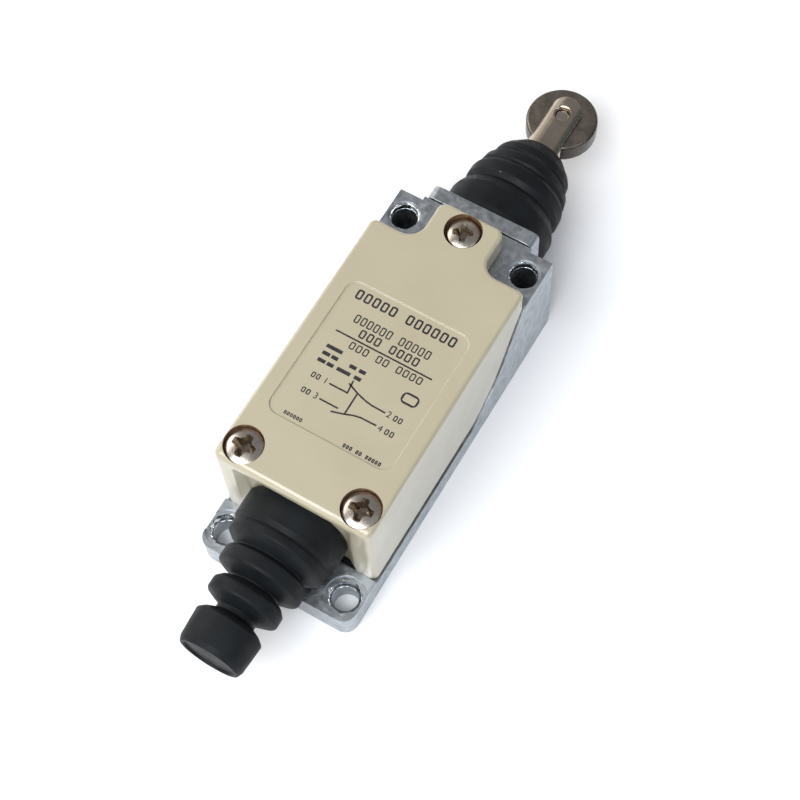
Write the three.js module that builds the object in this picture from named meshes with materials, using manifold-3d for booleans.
// Compact roller-plunger limit switch: die-cast housing, painted cover, contact block and sealed head.
// Millimetres. +Z points out of the cover, +Y towards the roller, +X to the right seen from the front.
// The origin is on the flat mounting face, midway between the four mounting holes.
import * as THREE from "three";
import { mergeVertices } from "three/addons/utils/BufferGeometryUtils.js";
import Module from "manifold-3d";

const wasm = await Module();
wasm.setup();

// ---------------------------------------------------------------- driving dimensions

// Housing
const bodyWidth = 28;
const bodyLength = 64;
const coverHeight = 24.4;
const mountFromSide = 3;
const mountFromEnd = 4;
const mountHoleRadius = 2.15;
const spotFaceDepth = 0.3;
const topSpotFaceWidth = 0.5;
const bottomSpotFaceWidth = 1.2;
const topEarLength = 9;
const topEarBelowCover = 4.5;
const bottomEarLength = 8.4;
const bottomEarHeight = 5.6;
const lipHeight = 4.5;
const floorThickness = 2.4;
const baseWall = 2;
const topEarWall = 1.5;
const bottomCornerRadius = 2.2;
const headPadHeight = 0.7;
const endWall = 1.6;
const endRecess = 1.2;
const endRecessWidth = 18.8;

// The S of the parting line: its length below the upper ears, and its two handles as shares of run and rise
const partingRun = 17;
const partingHandles = [[0.56, 0.1], [0.72, 0.76]];

// Cover and its gasket
const coverWall = 1.8;
const coverSetback = 0.2;
const coverEdgeRadius = 0.7;
const gasketThickness = 0.8;
const gasketInset = 0.4;
const tongueWidth = 11.6;
const tongueSetback = 0.8;
const tongueCorner = 1.2;
const notchRadius = 2.8;
const labelFromSide = 3.1;
const labelAboveScrews = 6.65;
const labelBelowEars = 10.85;
const labelDepth = 0.25;
const labelCorner = 2;

// Cover screws
const lowerHeadRadius = 3.05;
const topHeadRadius = 2.65;
const counterboreGap = 0.15;
const topCounterboreGap = 0.45;
const counterboreWall = 1;
const screwSeatThickness = 1.6;
const screwBossWall = 1.2;
const screwHeadHeight = 1.9;
const screwShankRadius = 1.5;
const screwSink = 0.3;
const lowerScrewFloor = 1.2;
const topScrewReach = 3.7;
const topScrewFromEnd = 4.1;
const lowerScrewFromSide = 3.7;
const lowerScrewFromEnd = 12;

// Plunger, roller and head
const axisHeight = 10;
const rodRadius = 3.5;
const plungerTravel = 5.5;
const rollerRadius = 6.1;
const rollerThickness = 3.6;
const rollerBevel = 0.35;
const slotAboveBoot = 0.35;
const slotBelowRoller = 1.1;
const pinRadius = 1.15;
const pinChamfer = 0.15;
const pinRecess = 0.35;
const pinCounterboreDepth = 0.55;
const pinCounterboreWidth = 0.4;
const collarWidth = 1.1;
const collarLength = 2;
const tailRadius = 1.9;
const bushWall = 1.4;
const bushLength = 8.6;
const headPlateThickness = 2.8;
const headPlateMargin = 0.3;
const headPlateCorner = 1.3;
const headBossHeight = 2;
const headBossWall = 1.4;
const headScrewRadius = 0.95;
const headScrewFromBush = 0.67;
const headScrewHeadRadius = 1.5;
const headScrewHeadHeight = 1;
const headScrewReach = 4.8;
const sealWidth = 0.95;
const sealLength = 1.5;
const sealLip = 0.3;
const bootWall = 1.1;
const bootLength = 18.4;
const bootLipWidth = 0.7;
const bootLipLength = 1.6;
const returnWireRadius = 0.28;
const returnSpringGap = 0.7;
const returnSpringSolid = 3.8;

// Contact block
const caseSideGap = 0.5;
const caseTopWall = 1.7;
const caseEndWall = 1.7;
const caseHeight = 11;
const caseFloor = 4.2;
const caseScrewRadius = 1;
const caseScrewHeadRadius = 1.6;
const caseScrewHeadHeight = 1.2;
const caseScrewFromSide = 1.9;
const caseScrewFloor = 0.8;
const carrierWidth = 6.4;
const carrierTravel = 2;
const carrierWeb = 1.3;
const bridgeThickness = 0.8;
const bridgeLength = 14.4;
const bridgeDepth = 2.4;
const bridgeDimpleRadius = 0.4;
const contactGap = 0.1;
const smallWireRadius = 0.2;
const overtravelCoilRadius = 1.4;
const overtravelSpringSolid = 2.8;
const carrierCoilRadius = 2;
const carrierSpringSolid = 2.5;
const contactWireRadius = 0.16;
const contactCoilRadius = 1;
const contactSpringLength = 3.1;
const stripThickness = 0.8;
const tabWidth = 1.8;
const lidThickness = 1.7;
const lidOverlap = 1.8;
const terminalScrewRadius = 1.4;
const terminalHeadRadius = 2.4;
const terminalHeadHeight = 1.8;
const terminalFromSide = 3.3;
const terminalFromEnd = 3.4;
const clampSize = 5;
const clampThickness = 0.8;

// Cable boot
const cableAxisHeight = 12.4;
const drumRadius = 8.8;
const drumMargin = 1.2;
const cableBore = 2.6;
const cableNeckDepth = 2.7;
const cableFlangeWidth = 1.4;
const cableFlangeThickness = 1.2;
const cableTipThickness = 3;
const cableBootLength = 25.8;

// Clearances
const runningFit = 0.08;
const assemblyGap = 0.3;
const looseFit = 0.1;
const touchGap = 0.05;

// Facets on a full turn
const fine = 32;
const rubber = 28;
const medium = 20;
const small = 16;
const coarse = 12;

// ---------------------------------------------------------------- derived places

const halfWidth = bodyWidth / 2;
const halfLength = bodyLength / 2;
const mountX = halfWidth - mountFromSide;
const mountY = halfLength - mountFromEnd;
const topEarHeight = coverHeight - topEarBelowCover;
const topEarStart = halfLength - topEarLength;
const bottomEarStart = -halfLength + bottomEarLength;
const partingFoot = topEarStart - partingRun;
const cavityTop = topEarStart - topEarWall;
const cavityBottom = bottomEarStart + endRecess + endWall;
const innerHalfWidth = halfWidth - baseWall;
const gasketSpace = gasketThickness + assemblyGap;
const screwSeat = coverHeight - screwSink - screwHeadHeight;
const topScrewY = halfLength - topScrewFromEnd;
const lowerScrewX = halfWidth - lowerScrewFromSide;
const lowerScrewY = -halfLength + lowerScrewFromEnd;
const headPadFace = halfLength + headPadHeight;
const headPlateFace = headPadFace + headPlateThickness;
const bushRadius = rodRadius + runningFit + bushWall;
const headScrewX = bushRadius + headScrewFromBush + headScrewRadius;
const bootRadius = headScrewX + headScrewHeadRadius + 4 * touchGap + bootWall;
const headPlateWidth = 2 * (bootRadius + headPlateMargin);
const bushBottom = headPadFace - bushLength;
const collarTop = bushBottom - touchGap;
const collarBottom = collarTop - collarLength;
const caseWidth = 2 * (innerHalfWidth - caseSideGap);
const caseTop = collarBottom - plungerTravel - returnSpringSolid;
const carrierTop = caseTop - caseTopWall - 2 * assemblyGap;
const pocketBottom = carrierTop - (plungerTravel - carrierTravel) - overtravelSpringSolid;
const windowTop = pocketBottom - carrierWeb;
const closedBridgeTop = windowTop - assemblyGap;
const closedBridgeBottom = closedBridgeTop - bridgeThickness;
const closedWindowBottom = closedBridgeBottom - contactSpringLength;
const openWindowTop = closedWindowBottom - carrierWeb;
const openBridgeTop = openWindowTop - contactSpringLength;
const openWindowBottom = openBridgeTop - bridgeThickness - contactGap;
const carrierBottom = openWindowBottom - carrierWeb;
const caseBottom = carrierBottom - carrierTravel - carrierSpringSolid - caseEndWall;
const tailEnd = caseTop - assemblyGap;
const caseBase = floorThickness + touchGap;
const stripLevel = caseBase + caseHeight;
const terminalX = caseWidth / 2 - terminalFromSide;
const bootFoot = headPlateFace + touchGap;
const bootTop = bootFoot + bootLength;
const slotBottomY = bootTop + slotAboveBoot;
const rollerCentreY = slotBottomY + slotBelowRoller + rollerRadius;
const cableWallOuter = bottomEarStart + endRecess;
const cableNeckRadius = drumRadius - cableNeckDepth;

// ---------------------------------------------------------------- solids

function solidOf(geometry) {
  const bare = geometry.clone();
  bare.deleteAttribute("normal");
  bare.deleteAttribute("uv");
  const merged = mergeVertices(bare, 1e-4);
  const vertProperties = new Float32Array(merged.attributes.position.array);
  const triVerts = new Uint32Array(merged.index.array);
  return new wasm.Manifold(new wasm.Mesh({ numProp: 3, vertProperties, triVerts }));
}

function geometryOf(solid) {
  const mesh = solid.getMesh();
  const geometry = new THREE.BufferGeometry();
  geometry.setAttribute("position", new THREE.BufferAttribute(mesh.vertProperties, 3));
  geometry.setIndex(new THREE.BufferAttribute(mesh.triVerts, 1));
  geometry.computeVertexNormals();
  return geometry;
}

function box(x0, x1, y0, y1, z0, z1) {
  const geometry = new THREE.BoxGeometry(x1 - x0, y1 - y0, z1 - z0);
  geometry.translate((x0 + x1) / 2, (y0 + y1) / 2, (z0 + z1) / 2);
  return solidOf(geometry);
}

function centredBox(width, y0, y1, z0, z1) {
  return box(-width / 2, width / 2, y0, y1, z0, z1);
}

// A profile of [radius, height] pairs turned about Y. It closes on the axis or on itself.
function turned(profile, facets = fine) {
  const points = profile.map(([radius, height]) => new THREE.Vector2(radius, height));
  if (profile[0][0] > 0) points.push(points[0].clone());
  if (THREE.ShapeUtils.area(points) < 0) points.reverse();
  return new THREE.LatheGeometry(points, facets);
}

function rod(radius, y0, y1, facets = fine) {
  return solidOf(turned([[0, y0], [radius, y0], [radius, y1], [0, y1]], facets));
}

function boreAlongY(x, z, y0, y1, radius, facets = fine) {
  return rod(radius, y0, y1, facets).translate([x, 0, z]);
}

function boreAlongZ(x, y, z0, z1, radius, facets = fine) {
  return rod(radius, z0, z1, facets).rotate([90, 0, 0]).translate([x, y, 0]);
}

function roundedRectangle(x0, x1, y0, y1, radius) {
  const shape = new THREE.Shape();
  shape.moveTo(x0 + radius, y0);
  shape.lineTo(x1 - radius, y0);
  shape.absarc(x1 - radius, y0 + radius, radius, -Math.PI / 2, 0);
  shape.lineTo(x1, y1 - radius);
  shape.absarc(x1 - radius, y1 - radius, radius, 0, Math.PI / 2);
  shape.lineTo(x0 + radius, y1);
  shape.absarc(x0 + radius, y1 - radius, radius, Math.PI / 2, Math.PI);
  shape.lineTo(x0, y0 + radius);
  shape.absarc(x0 + radius, y0 + radius, radius, Math.PI, 1.5 * Math.PI);
  return shape;
}

function prismAlongZ(shape, z0, z1, curveSegments = 6) {
  const geometry = new THREE.ExtrudeGeometry(shape, { depth: z1 - z0, bevelEnabled: false, curveSegments });
  return solidOf(geometry.translate(0, 0, z0));
}

// A shape drawn in (Y, Z), extruded along X.
function prismAlongX(shape, x0, x1, curveSegments = 12) {
  const geometry = new THREE.ExtrudeGeometry(shape, { depth: x1 - x0, bevelEnabled: false, curveSegments });
  const turn = new THREE.Matrix4().makeBasis(
    new THREE.Vector3(0, 1, 0),
    new THREE.Vector3(0, 0, 1),
    new THREE.Vector3(1, 0, 0),
  );
  return solidOf(geometry.applyMatrix4(turn).translate(x0, 0, 0));
}

class Helix extends THREE.Curve {
  constructor(radius, turns, start, end) {
    super();
    Object.assign(this, { radius, turns, start, end });
  }

  getPoint(t, target = new THREE.Vector3()) {
    const angle = t * this.turns * 2 * Math.PI;
    const height = this.start + (this.end - this.start) * t;
    return target.set(this.radius * Math.cos(angle), height, this.radius * Math.sin(angle));
  }
}

function coilSpring(radius, wireRadius, turns, start, end) {
  const section = new THREE.Shape();
  section.absarc(0, 0, wireRadius, 0, 2 * Math.PI);
  const extrudePath = new Helix(radius, turns, start + wireRadius, end - wireRadius);
  return new THREE.ExtrudeGeometry(section, { steps: turns * coarse, curveSegments: 3, extrudePath });
}

// ---------------------------------------------------------------- materials

function finish(color, roughness, metalness) {
  return () => new THREE.MeshStandardMaterial({ color, roughness, metalness });
}

const castZinc = finish("#a9b0b6", 0.45, 0.8);
const beigePaint = finish("#cdc3a1", 0.5, 0);
const blackRubber = finish("#252829", 0.7, 0);
const nickelSteel = finish("#a59b90", 0.3, 1);
const springSteel = finish("#8e9194", 0.35, 1);
const bronze = finish("#a6814c", 0.45, 1);
const brass = finish("#c9a04e", 0.35, 1);
const blackPhenolic = finish("#1f1d1b", 0.55, 0);
const whiteNylon = finish("#e4e0d4", 0.5, 0);
const clearAmber = finish("#b98b4a", 0.3, 0);

const limitSwitch = new THREE.Group();
const headAxis = new THREE.Group();
const cableAxis = new THREE.Group();
headAxis.position.z = axisHeight;
cableAxis.position.z = cableAxisHeight;
limitSwitch.add(headAxis, cableAxis);

function piece(name, shape, material, parent = limitSwitch) {
  const geometry = shape.isBufferGeometry ? shape : geometryOf(shape);
  const mesh = new THREE.Mesh(geometry, material());
  mesh.name = name;
  parent.add(mesh);
  return mesh;
}

// ---------------------------------------------------------------- housing

// Everything below the line where cover and base meet, seen from the side, raised by `lift`.
// The line runs level behind the lower ears, then sweeps up in an S to the upper ears.
function belowParting(lift, upperLift = lift) {
  const reach = bodyLength;
  const shoulder = topEarStart + coverSetback;
  const rise = topEarHeight - lipHeight;
  const [foot, head] = partingHandles.map(([along, up]) => [
    partingFoot + along * partingRun,
    lipHeight + up * rise + lift,
  ]);
  const shape = new THREE.Shape();
  shape.moveTo(-reach, lipHeight + lift);
  shape.lineTo(-reach, -reach);
  shape.lineTo(reach, -reach);
  shape.lineTo(reach, topEarHeight + upperLift);
  shape.lineTo(shoulder, topEarHeight + upperLift);
  shape.lineTo(shoulder, topEarHeight + lift);
  shape.bezierCurveTo(...head, ...foot, partingFoot, lipHeight + lift);
  return prismAlongX(shape, -bodyWidth, bodyWidth);
}

function mountingPlaces() {
  const ears = [
    [mountY, topEarHeight, topSpotFaceWidth],
    [-mountY, bottomEarHeight, bottomSpotFaceWidth],
  ];
  return ears.flatMap((ear) => [[-mountX, ...ear], [mountX, ...ear]]);
}

function lowerScrewPlaces() {
  return [[-lowerScrewX, lowerScrewY], [lowerScrewX, lowerScrewY]];
}

function caseScrewPlaces() {
  const x = caseWidth / 2 - caseScrewFromSide;
  const y = closedWindowBottom - carrierWeb - caseScrewRadius / 2;
  return [[-x, y], [x, y]];
}

function bootScoop() {
  return boreAlongY(0, cableAxisHeight, -bodyLength, cableWallOuter, drumRadius + assemblyGap);
}

function baseHousing() {
  const thread = screwShankRadius + runningFit;
  const boss = screwShankRadius + screwBossWall;
  const corner = bottomCornerRadius;
  const plan = roundedRectangle(-halfWidth, halfWidth, -halfLength, halfLength + corner, corner);
  let base = prismAlongZ(plan, 0, topEarHeight);
  base = base.subtract(box(-bodyWidth, bodyWidth, halfLength, bodyLength, -1, coverHeight));
  const earSpace = box(-halfWidth, halfWidth, -halfLength, bottomEarStart, 0, bottomEarHeight);
  base = base.intersect(belowParting(0).add(earSpace));
  const padWidth = headPlateWidth + 2 * coverSetback;
  base = base.add(centredBox(padWidth, halfLength - headPadHeight, headPadFace, 0, topEarHeight));
  base = base.subtract(centredBox(2 * innerHalfWidth, cavityBottom, cavityTop, floorThickness, coverHeight));
  for (const [x, y] of lowerScrewPlaces()) {
    base = base.add(boreAlongZ(x, y, floorThickness / 2, lipHeight, boss, medium));
    base = base.subtract(boreAlongZ(x, y, lowerScrewFloor, coverHeight, thread, medium));
  }
  base = base.subtract(boreAlongZ(0, topScrewY, topEarHeight - topScrewReach, coverHeight, thread, medium));
  base = base.subtract(boreAlongY(0, axisHeight, cavityTop - 1, bodyLength, bushRadius + runningFit));
  const headHole = headScrewRadius + runningFit;
  const headHoleEnd = headPadFace - headScrewReach - 2 * assemblyGap;
  for (const x of [-headScrewX, headScrewX])
    base = base.subtract(boreAlongY(x, axisHeight, headHoleEnd, bodyLength, headHole, coarse));
  for (const [x, y] of caseScrewPlaces())
    base = base.subtract(boreAlongZ(x, y, caseScrewFloor, coverHeight, caseScrewRadius + runningFit, coarse));
  for (const [x, y, height, faceWidth] of mountingPlaces()) {
    base = base.subtract(boreAlongZ(x, y, -1, coverHeight, mountHoleRadius));
    base = base.subtract(boreAlongZ(x, y, height - spotFaceDepth, coverHeight, mountHoleRadius + faceWidth));
  }
  return base.subtract(bootScoop());
}

// Cover outline from above: square shoulders beside the ears and a tongue between them.
function coverOutline() {
  const side = halfWidth - coverSetback;
  const shoulder = topEarStart + coverSetback;
  const tongueEnd = halfLength - tongueSetback;
  const tongue = tongueWidth / 2;
  const corner = coverEdgeRadius + assemblyGap;
  const shape = new THREE.Shape();
  shape.moveTo(-side + corner, bottomEarStart);
  shape.lineTo(side - corner, bottomEarStart);
  shape.absarc(side - corner, bottomEarStart + corner, corner, -Math.PI / 2, 0);
  shape.lineTo(side, shoulder - corner);
  shape.absarc(side - corner, shoulder - corner, corner, 0, Math.PI / 2);
  shape.lineTo(tongue + notchRadius, shoulder);
  shape.absarc(tongue + notchRadius, shoulder + notchRadius, notchRadius, -Math.PI / 2, -Math.PI, true);
  shape.lineTo(tongue, tongueEnd - tongueCorner);
  shape.absarc(tongue - tongueCorner, tongueEnd - tongueCorner, tongueCorner, 0, Math.PI / 2);
  shape.lineTo(-tongue + tongueCorner, tongueEnd);
  shape.absarc(-tongue + tongueCorner, tongueEnd - tongueCorner, tongueCorner, Math.PI / 2, Math.PI);
  shape.lineTo(-tongue, shoulder + notchRadius);
  shape.absarc(-tongue - notchRadius, shoulder + notchRadius, notchRadius, 0, -Math.PI / 2, true);
  shape.lineTo(-side + corner, shoulder);
  shape.absarc(-side + corner, shoulder - corner, corner, Math.PI / 2, Math.PI);
  shape.lineTo(-side, bottomEarStart + corner);
  shape.absarc(-side + corner, bottomEarStart + corner, corner, Math.PI, 1.5 * Math.PI);
  return shape;
}

function coverShell() {
  const geometry = new THREE.ExtrudeGeometry(coverOutline(), {
    depth: coverHeight - 2 * coverEdgeRadius,
    bevelThickness: coverEdgeRadius,
    bevelSize: coverEdgeRadius,
    bevelOffset: -coverEdgeRadius,
    bevelSegments: 3,
    curveSegments: 4,
  });
  const ceiling = coverHeight - coverWall;
  const outer = solidOf(geometry.translate(0, 0, coverEdgeRadius));
  const innerWidth = bodyWidth - 2 * coverSetback - 2 * coverWall;
  let hollow = centredBox(innerWidth, cavityBottom, cavityTop, 0, ceiling);
  const seatRadius = lowerHeadRadius + counterboreWall;
  const seatBottom = screwSeat - screwSeatThickness;
  for (const [x, y] of lowerScrewPlaces()) {
    hollow = hollow.subtract(boreAlongZ(x, y, seatBottom, coverHeight, seatRadius, medium));
    hollow = hollow.subtract(boreAlongZ(x, y, 0, coverHeight, screwShankRadius + screwBossWall, medium));
  }
  let cover = outer.subtract(belowParting(gasketSpace, assemblyGap)).subtract(hollow);
  const counterbores = lowerScrewPlaces().map((place) => [...place, lowerHeadRadius + counterboreGap]);
  counterbores.push([0, topScrewY, topHeadRadius + topCounterboreGap]);
  for (const [x, y, radius] of counterbores) {
    cover = cover.subtract(boreAlongZ(x, y, screwSeat, bodyLength, radius));
    cover = cover.subtract(boreAlongZ(x, y, 0, coverHeight, screwShankRadius + assemblyGap, medium));
  }
  const recessTop = cableAxisHeight + drumRadius + drumMargin;
  const slotRadius = cableNeckRadius + assemblyGap;
  cover = cover.subtract(centredBox(endRecessWidth, -bodyLength, cableWallOuter, 0, recessTop));
  cover = cover.subtract(boreAlongY(0, cableAxisHeight, -bodyLength, cavityBottom + 1, slotRadius));
  cover = cover.subtract(centredBox(2 * slotRadius, -bodyLength, cavityBottom + 1, 0, cableAxisHeight));
  const labelX = halfWidth - labelFromSide;
  const labelBottom = lowerScrewY + labelAboveScrews;
  const label = roundedRectangle(-labelX, labelX, labelBottom, topEarStart - labelBelowEars, labelCorner);
  return cover.subtract(prismAlongZ(label, coverHeight - labelDepth, coverHeight + 1));
}

function coverGasket() {
  const half = halfWidth - coverSetback - gasketInset;
  const inner = innerHalfWidth + touchGap;
  const ring = box(-half, half, bottomEarStart + gasketInset, topEarStart, 0, coverHeight)
    .subtract(centredBox(2 * inner, cavityBottom - assemblyGap, cavityTop + touchGap, -1, coverHeight + 1));
  const band = belowParting(gasketThickness + assemblyGap / 2).subtract(belowParting(assemblyGap / 2));
  let gasket = ring.intersect(band);
  for (const [x, y] of lowerScrewPlaces())
    gasket = gasket.subtract(boreAlongZ(x, y, 0, coverHeight, screwShankRadius + assemblyGap, medium));
  return gasket.subtract(bootScoop());
}

// A pan-head screw along Y with its head on the side of +Y; the head seats at y = 0.
function panScrew(headRadius, headHeight, shankRadius, length, facets = medium) {
  const chamfer = shankRadius / 2;
  const rim = (2 / 3) * headHeight;
  const dome = headHeight - rim;
  const shoulder = headRadius - dome;
  return turned([
    [0, -length], [shankRadius - chamfer, -length], [shankRadius, -length + chamfer],
    [shankRadius, 0], [headRadius, 0], [headRadius, rim],
    [shoulder, rim + dome / 2], [shoulder - dome, headHeight], [0, headHeight],
  ], facets);
}

// The same screw standing along Z at a place on the front.
function frontScrew(name, x, y, seat, screw, material) {
  const mesh = piece(name, screw, material);
  mesh.rotation.x = Math.PI / 2;
  mesh.position.set(x, y, seat);
}

piece("base_housing", baseHousing(), castZinc);
piece("cover", coverShell(), beigePaint);
piece("cover_gasket", coverGasket(), blackRubber);

const lowerScrewLength = screwSeat - lowerScrewFloor - assemblyGap;
const topScrewLength = screwSeat - topEarHeight + topScrewReach - assemblyGap;
const coverScrew = (headRadius, length) => panScrew(headRadius, screwHeadHeight, screwShankRadius, length);
const topScrew = coverScrew(topHeadRadius, topScrewLength);
frontScrew("cover_screw_top", 0, topScrewY, screwSeat + touchGap, topScrew, nickelSteel);
lowerScrewPlaces().forEach(([x, y], index) => {
  const name = index === 0 ? "cover_screw_left" : "cover_screw_right";
  frontScrew(name, x, y, screwSeat + touchGap, coverScrew(lowerHeadRadius, lowerScrewLength), nickelSteel);
});

// ---------------------------------------------------------------- head and plunger

function headPlate() {
  const half = headPlateWidth / 2;
  const top = topEarHeight - axisHeight;
  const outline = roundedRectangle(-half, half, coverSetback - axisHeight, top, headPlateCorner);
  const plate = prismAlongZ(outline, 0, headPlateThickness, 4)
    .rotate([90, 0, 0])
    .translate([0, headPlateFace, 0]);
  const sealSpace = rodRadius + sealWidth + assemblyGap;
  let head = plate.add(rod(rodRadius + headBossWall, headPadFace, headPlateFace + headBossHeight));
  head = head.subtract(rod(rodRadius + assemblyGap, 0, bodyLength));
  head = head.subtract(rod(sealSpace, 0, headPadFace + sealLength + assemblyGap));
  for (const x of [-headScrewX, headScrewX])
    head = head.subtract(boreAlongY(x, 0, 0, bodyLength, headScrewRadius + assemblyGap / 2, coarse));
  return head;
}

function guideBush() {
  const inner = rodRadius + runningFit;
  return turned([
    [inner, bushBottom], [bushRadius, bushBottom],
    [bushRadius, headPadFace], [inner, headPadFace],
  ]);
}

function plungerSeal() {
  const inner = rodRadius + runningFit;
  const outer = rodRadius + sealWidth;
  const y0 = headPadFace + touchGap;
  const y1 = y0 + sealLength;
  return turned([[inner, y0], [outer, y0], [outer, y1], [inner + sealLip, y1], [inner, y1 - sealLip]]);
}

const pinSeatLevel = rodRadius - pinCounterboreDepth;

// Round rod with a forked, rounded end, a stop collar and a thin tail.
function plungerRod() {
  const slotWidth = rollerThickness + 2 * assemblyGap;
  const tip = new THREE.Shape();
  tip.moveTo(-2 * rodRadius, tailEnd - 1);
  tip.lineTo(2 * rodRadius, tailEnd - 1);
  tip.lineTo(2 * rodRadius, rollerCentreY - rodRadius);
  tip.lineTo(rodRadius, rollerCentreY);
  tip.absarc(0, rollerCentreY, rodRadius, 0, Math.PI);
  tip.lineTo(-2 * rodRadius, rollerCentreY - rodRadius);
  let body = rod(rodRadius, collarBottom, rollerCentreY + 2 * rodRadius);
  body = body.add(rod(rodRadius + collarWidth, collarBottom, collarTop));
  body = body.add(rod(tailRadius, tailEnd, collarBottom + 1, medium));
  body = body.intersect(prismAlongZ(tip, -2 * rodRadius, 2 * rodRadius, small));
  const slotEnd = slotBottomY + slotWidth / 2;
  body = body.subtract(centredBox(4 * rodRadius, slotEnd, bodyLength * 2, -slotWidth / 2, slotWidth / 2));
  const slotRound = rod(slotWidth / 2, -2 * rodRadius, 2 * rodRadius, medium).rotate([0, 0, 90]);
  body = body.subtract(slotRound.translate([0, slotEnd, 0]));
  const pinHole = pinRadius + runningFit;
  body = body.subtract(boreAlongZ(0, rollerCentreY, -2 * rodRadius, 2 * rodRadius, pinHole, medium));
  const pinSeat = pinRadius + pinCounterboreWidth;
  return body.subtract(boreAlongZ(0, rollerCentreY, pinSeatLevel, 2 * rodRadius, pinSeat, medium));
}

function rollerWheel() {
  const half = rollerThickness / 2;
  const bore = pinRadius + runningFit;
  const faceRadius = rollerRadius - rollerBevel;
  return turned([
    [bore, -half], [faceRadius, -half], [rollerRadius, -half + rollerBevel],
    [rollerRadius, half - rollerBevel], [faceRadius, half], [bore, half],
  ]);
}

// Tapered bellows: the outside swells into ridges, and the wall follows it inside.
// A ridge point is a share of the way out from neck to foot, and a share of the way up from foot to neck.
function plungerBoot() {
  const lip = rodRadius + runningFit;
  const neckRadius = lip + bootLipWidth;
  const ridges = [
    [1, 0], [1, 0.04], [1.04, 0.065], [1.04, 0.27], [0.92, 0.34], [0.8, 0.39],
    [0.87, 0.47], [0.85, 0.54], [0.73, 0.61], [0.73, 0.67], [0.65, 0.73], [0.52, 0.75],
    [0.52, 0.815], [0.41, 0.885], [0.24, 0.94],
  ];
  const outside = ridges.map(([out, up]) => [
    neckRadius + out * (bootRadius - neckRadius),
    bootFoot + up * bootLength,
  ]);
  const inside = outside
    .filter(([radius]) => radius - bootWall > neckRadius + bootWall)
    .map(([radius, height]) => [radius - bootWall, height])
    .reverse();
  const lipBottom = bootTop - bootLipLength;
  return turned([
    ...outside, [neckRadius, bootTop], [lip, bootTop],
    [lip, lipBottom], [neckRadius, lipBottom - bootWall / 2], ...inside,
  ], rubber);
}

piece("head_plate", headPlate(), castZinc, headAxis);
piece("guide_bush", guideBush(), bronze, headAxis);
piece("plunger_seal", plungerSeal(), blackRubber, headAxis);
piece("plunger", plungerRod(), nickelSteel, headAxis);
piece("plunger_boot", plungerBoot(), blackRubber, headAxis);
for (const [name, x] of [["head_screw_left", -headScrewX], ["head_screw_right", headScrewX]]) {
  const length = headPlateThickness + headScrewReach;
  const screw = panScrew(headScrewHeadRadius, headScrewHeadHeight, headScrewRadius, length, small);
  piece(name, screw, nickelSteel, headAxis).position.set(x, headPlateFace + touchGap, 0);
}

const roller = piece("roller", rollerWheel(), nickelSteel, headAxis);
roller.rotation.x = Math.PI / 2;
roller.position.y = rollerCentreY;

function rollerPin() {
  const front = pinSeatLevel - pinRecess;
  const back = pinRecess + looseFit - rodRadius;
  const faceRadius = pinRadius - pinChamfer;
  return turned([
    [0, back], [faceRadius, back], [pinRadius, back + pinChamfer],
    [pinRadius, front - pinChamfer], [faceRadius, front], [0, front],
  ], medium);
}

const pin = piece("roller_pin", rollerPin(), nickelSteel, headAxis);
pin.rotation.x = Math.PI / 2;
pin.position.y = rollerCentreY;

// Each spring on the plunger's axis: coil radius, wire radius, turns and the faces it stands between.
const returnCoilRadius = tailRadius + returnSpringGap + returnWireRadius;
const carrierSeat = caseBottom + caseEndWall;
const axisSprings = [
  ["return_spring", returnCoilRadius, returnWireRadius, 6, caseTop, collarBottom],
  ["overtravel_spring", overtravelCoilRadius, smallWireRadius, 7, pocketBottom, tailEnd],
  ["carrier_spring", carrierCoilRadius, smallWireRadius, 4, carrierSeat, carrierBottom],
  ["contact_spring_closed", contactCoilRadius, contactWireRadius, 3, closedWindowBottom, closedBridgeBottom],
  ["contact_spring_open", contactCoilRadius, contactWireRadius, 3, openBridgeTop, openWindowTop],
];
for (const [name, radius, wireRadius, turns, start, end] of axisSprings)
  piece(name, coilSpring(radius, wireRadius, turns, start + touchGap, end - touchGap), springSteel, headAxis);

// ---------------------------------------------------------------- contact block

const closedTab = closedBridgeTop + contactGap;
const openTab = openBridgeTop - bridgeThickness - carrierTravel - contactGap;
const channelWidth = carrierWidth + 2 * runningFit;
const carrierHalfHeight = carrierWidth / 2;

function bridgeSlot(low, high) {
  const width = bridgeLength + 4 * assemblyGap;
  return centredBox(width, low, high, axisHeight - bridgeDepth / 2 - assemblyGap, coverHeight);
}

// Each terminal: which side, where its screw is, and the face of its contact tab.
const terminals = [
  { name: "1", side: -1, y: caseTop - terminalFromEnd, tab: closedTab, away: 1 },
  { name: "2", side: 1, y: caseTop - terminalFromEnd, tab: closedTab, away: 1 },
  { name: "3", side: -1, y: caseBottom + terminalFromEnd, tab: openTab, away: -1 },
  { name: "4", side: 1, y: caseBottom + terminalFromEnd, tab: openTab, away: -1 },
];

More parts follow.
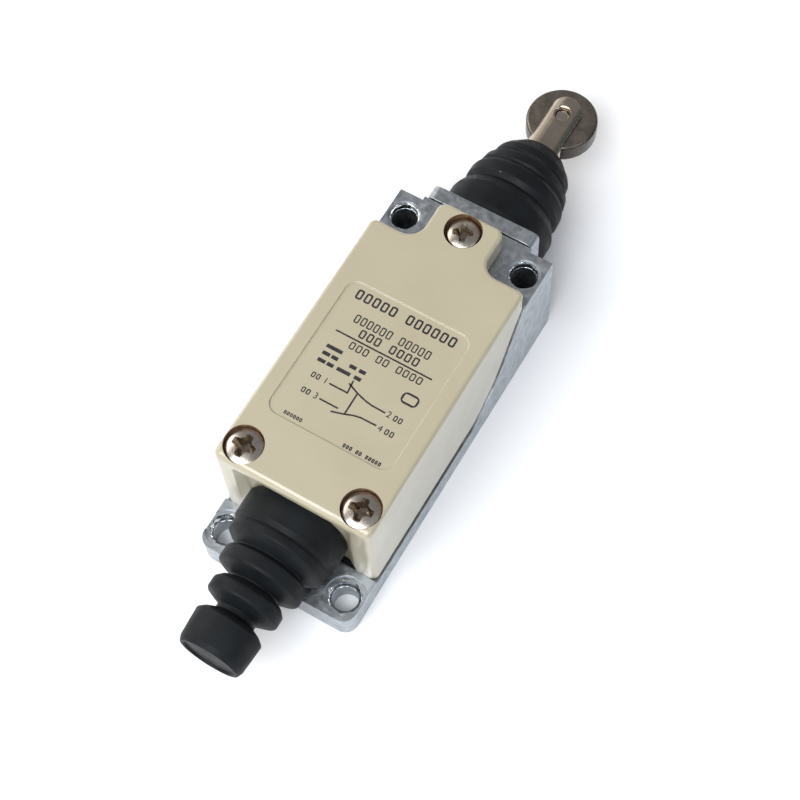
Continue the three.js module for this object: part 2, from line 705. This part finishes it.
function switchCase() {
  let body = centredBox(caseWidth, caseBottom, caseTop, caseBase, stripLevel);
  const channelFloor = axisHeight - carrierHalfHeight - runningFit;
  const channelTop = caseTop - caseTopWall;
  body = body.subtract(centredBox(channelWidth, carrierSeat, channelTop, channelFloor, coverHeight));
  const tailHole = tailRadius + assemblyGap;
  body = body.subtract(boreAlongY(0, axisHeight, caseTop - 2 * caseTopWall, bodyLength, tailHole, medium));
  const spread = stripThickness + 2 * assemblyGap;
  body = body.subtract(bridgeSlot(closedBridgeBottom - carrierTravel - assemblyGap, closedTab + spread));
  body = body.subtract(bridgeSlot(openTab - spread, openBridgeTop + assemblyGap));
  const threadRadius = terminalScrewRadius + runningFit;
  for (const { side, y } of terminals)
    body = body.subtract(boreAlongZ(side * terminalX, y, caseFloor, coverHeight, threadRadius, coarse));
  for (const [x, y] of caseScrewPlaces())
    body = body.subtract(boreAlongZ(x, y, 0, coverHeight, caseScrewRadius + assemblyGap / 2, coarse));
  return body;
}

function switchLid() {
  const lidWidth = channelWidth + 2 * lidOverlap;
  return centredBox(lidWidth, caseBottom, caseTop, stripLevel + touchGap, stripLevel + lidThickness);
}

function contactCarrier() {
  const bottom = axisHeight - carrierHalfHeight;
  const top = axisHeight + carrierHalfHeight;
  const windowLow = axisHeight - bridgeDepth / 2 - assemblyGap;
  const windowHigh = axisHeight + bridgeDepth / 2 + assemblyGap;
  let body = centredBox(carrierWidth, carrierBottom, carrierTop, bottom, top);
  body = body.subtract(boreAlongY(0, axisHeight, pocketBottom, bodyLength, tailRadius + assemblyGap, medium));
  for (const [low, high] of [[closedWindowBottom, windowTop], [openWindowBottom, openWindowTop]])
    body = body.subtract(centredBox(bodyWidth, low, high, windowLow, windowHigh));
  return body;
}

function contactBridge(top) {
  const half = bridgeDepth / 2;
  const dimpleFloor = top - bridgeThickness / 2;
  return centredBox(bridgeLength, top - bridgeThickness, top, axisHeight - half, axisHeight + half)
    .subtract(boreAlongY(0, axisHeight, dimpleFloor, top + 1, bridgeDimpleRadius, coarse));
}

function terminalStrip({ side, y, tab, away }) {
  const level = stripLevel + touchGap;
  const inner = bridgeLength / 2 - tabWidth + looseFit;
  const outer = terminalX + clampSize / 2;
  const [low, high] = [tab, y + away * (clampSize / 2)].sort((a, b) => a - b);
  const [tabLow, tabHigh] = [tab, tab + away * stripThickness].sort((a, b) => a - b);
  const strip = box(inner, outer, low, high, level, level + stripThickness)
    .add(box(inner, inner + tabWidth, tabLow, tabHigh, axisHeight - bridgeDepth / 2, level + touchGap))
    .subtract(boreAlongZ(terminalX, y, 0, coverHeight, terminalScrewRadius + looseFit, coarse));
  return side < 0 ? strip.mirror([1, 0, 0]) : strip;
}

function terminalClamp({ side, y }) {
  const x = side * terminalX;
  const half = clampSize / 2;
  const level = stripLevel + stripThickness + 2 * touchGap;
  const plate = box(x - half, x + half, y - half, y + half, level, level + clampThickness);
  return plate.subtract(boreAlongZ(x, y, 0, coverHeight, terminalScrewRadius + looseFit, coarse));
}

piece("switch_case", switchCase(), blackPhenolic);
piece("switch_lid", switchLid(), clearAmber);
piece("contact_carrier", contactCarrier(), whiteNylon);
piece("contact_bridge_closed", contactBridge(closedBridgeTop), brass);
piece("contact_bridge_open", contactBridge(openBridgeTop), brass);

const clampTop = stripLevel + stripThickness + clampThickness + 3 * touchGap;
const terminalReach = clampTop - caseFloor - assemblyGap;
for (const terminal of terminals) {
  const { name, side, y } = terminal;
  const screw = panScrew(terminalHeadRadius, terminalHeadHeight, terminalScrewRadius, terminalReach, small);
  piece("terminal_" + name, terminalStrip(terminal), brass);
  piece("terminal_clamp_" + name, terminalClamp(terminal), nickelSteel);
  frontScrew("terminal_screw_" + name, side * terminalX, y, clampTop, screw, nickelSteel);
}
caseScrewPlaces().forEach(([x, y], index) => {
  const name = index === 0 ? "case_screw_left" : "case_screw_right";
  const length = stripLevel - caseScrewFloor - touchGap;
  const screw = panScrew(caseScrewHeadRadius, caseScrewHeadHeight, caseScrewRadius, length, small);
  frontScrew(name, x, y, stripLevel + touchGap, screw, nickelSteel);
});

// ---------------------------------------------------------------- cable boot

// Stepped rubber boot, clipped into the end wall by its neck and bored from inside for a cable.
// A step is its depth below the drum's surface, and a share of the way from the drum's face to the tip.
function cableBoot() {
  const face = cableWallOuter - touchGap;
  const flange = cavityBottom + touchGap;
  const flangeRadius = cableNeckRadius + cableFlangeWidth;
  const flangeTop = flange + cableFlangeThickness;
  const tip = face - cableBootLength;
  const drum = [[0.2, 0], [0, 0.023], [0, 0.19], [0.6, 0.21], [0.4, 0.23], [0.5, 0.28], [1.5, 0.31]];
  const shoulder = [[3, 0.345], [2.2, 0.36], [1.6, 0.39], [1.7, 0.47], [2.4, 0.505], [5.2, 0.515]];
  const disc = [[5.2, 0.54], [3.4, 0.547], [2.7, 0.58], [2.7, 0.645], [3.4, 0.68], [5.4, 0.7]];
  const cap = [[5.5, 0.735], [3.9, 0.755], [3.1, 0.785], [3.3, 0.96], [3.8, 0.985], [4.6, 1]];
  const outside = [...drum, ...shoulder, ...disc, ...cap].map(([depth, along]) => [
    drumRadius - depth,
    face - along * cableBootLength,
  ]);
  return turned([
    [0, tip + cableTipThickness], [cableBore, tip + cableTipThickness], [cableBore, flangeTop],
    [flangeRadius, flangeTop], [flangeRadius, flange], [cableNeckRadius, flange], [cableNeckRadius, face],
    ...outside, [0, tip],
  ], rubber);
}

piece("cable_boot", cableBoot(), blackRubber, cableAxis);

export default limitSwitch;
